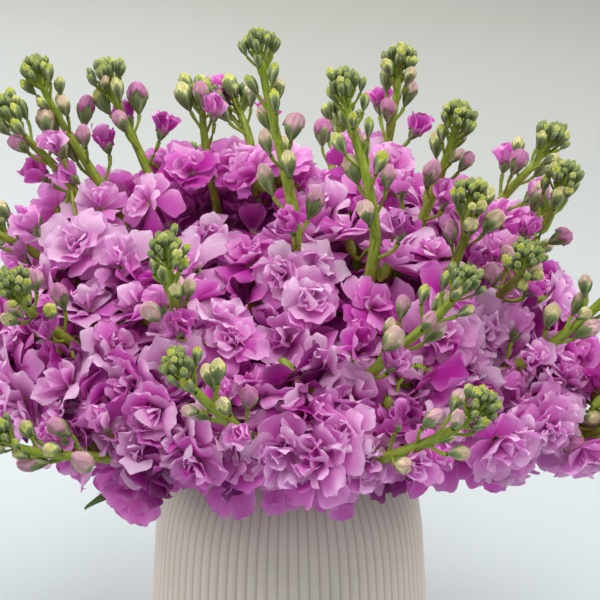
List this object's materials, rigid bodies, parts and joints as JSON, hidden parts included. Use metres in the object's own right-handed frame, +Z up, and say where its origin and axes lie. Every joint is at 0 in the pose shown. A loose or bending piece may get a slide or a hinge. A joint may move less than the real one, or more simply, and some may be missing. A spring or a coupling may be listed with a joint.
{
  "type": "stock flower in vase",
  "caption": "Round ribbed ceramic vase holding a full dome of double stock, with green bud tips standing clear of the petals.",
  "frame": {"origin": "centre of the vase's flat base, on the surface that it stands on", "axes": "+Z up along the vase's axis, -Y towards the side that the picture shows, +X to the viewer's right"},
  "size_m": [0.3742, 0.3274, 0.3967],
  "materials": {
    "vase": "matte unglazed off-white",
    "stem": "green plant stem",
    "flower_head": "lilac-pink petals and green buds",
    "leaf": "dark green leaf"
  },
  "bodies": {
    "root": {"vase": "vase", "stem_01": "stem", "stem_02": "stem", "stem_03": "stem", "stem_04": "stem", "stem_05": "stem", "stem_06": "stem", "stem_07": "stem", "stem_08": "stem", "stem_09": "stem", "stem_10": "stem", "stem_11": "stem", "stem_12": "stem", "stem_13": "stem", "stem_14": "stem", "stem_15": "stem", "stem_16": "stem", "stem_17": "stem", "stem_18": "stem", "stem_19": "stem", "stem_20": "stem", "stem_21": "stem", "stem_22": "stem", "stem_23": "stem", "stem_24": "stem", "stem_25": "stem", "stem_26": "stem", "stem_27": "stem", "stem_28": "stem", "flower_head_01": "flower_head", "flower_head_02": "flower_head", "flower_head_03": "flower_head", "flower_head_04": "flower_head", "flower_head_05": "flower_head", "flower_head_06": "flower_head", "flower_head_07": "flower_head", "flower_head_08": "flower_head", "flower_head_09": "flower_head", "flower_head_10": "flower_head", "flower_head_11": "flower_head", "flower_head_12": "flower_head", "flower_head_13": "flower_head", "flower_head_14": "flower_head", "flower_head_15": "flower_head", "flower_head_16": "flower_head", "flower_head_17": "flower_head", "flower_head_18": "flower_head", "flower_head_19": "flower_head", "flower_head_20": "flower_head", "flower_head_21": "flower_head", "flower_head_22": "flower_head", "flower_head_23": "flower_head", "flower_head_24": "flower_head", "flower_head_25": "flower_head", "flower_head_26": "flower_head", "flower_head_27": "flower_head", "flower_head_28": "flower_head", "leaf_01": "leaf", "leaf_02": "leaf", "leaf_03": "leaf"}
  },
  "joints": []
}
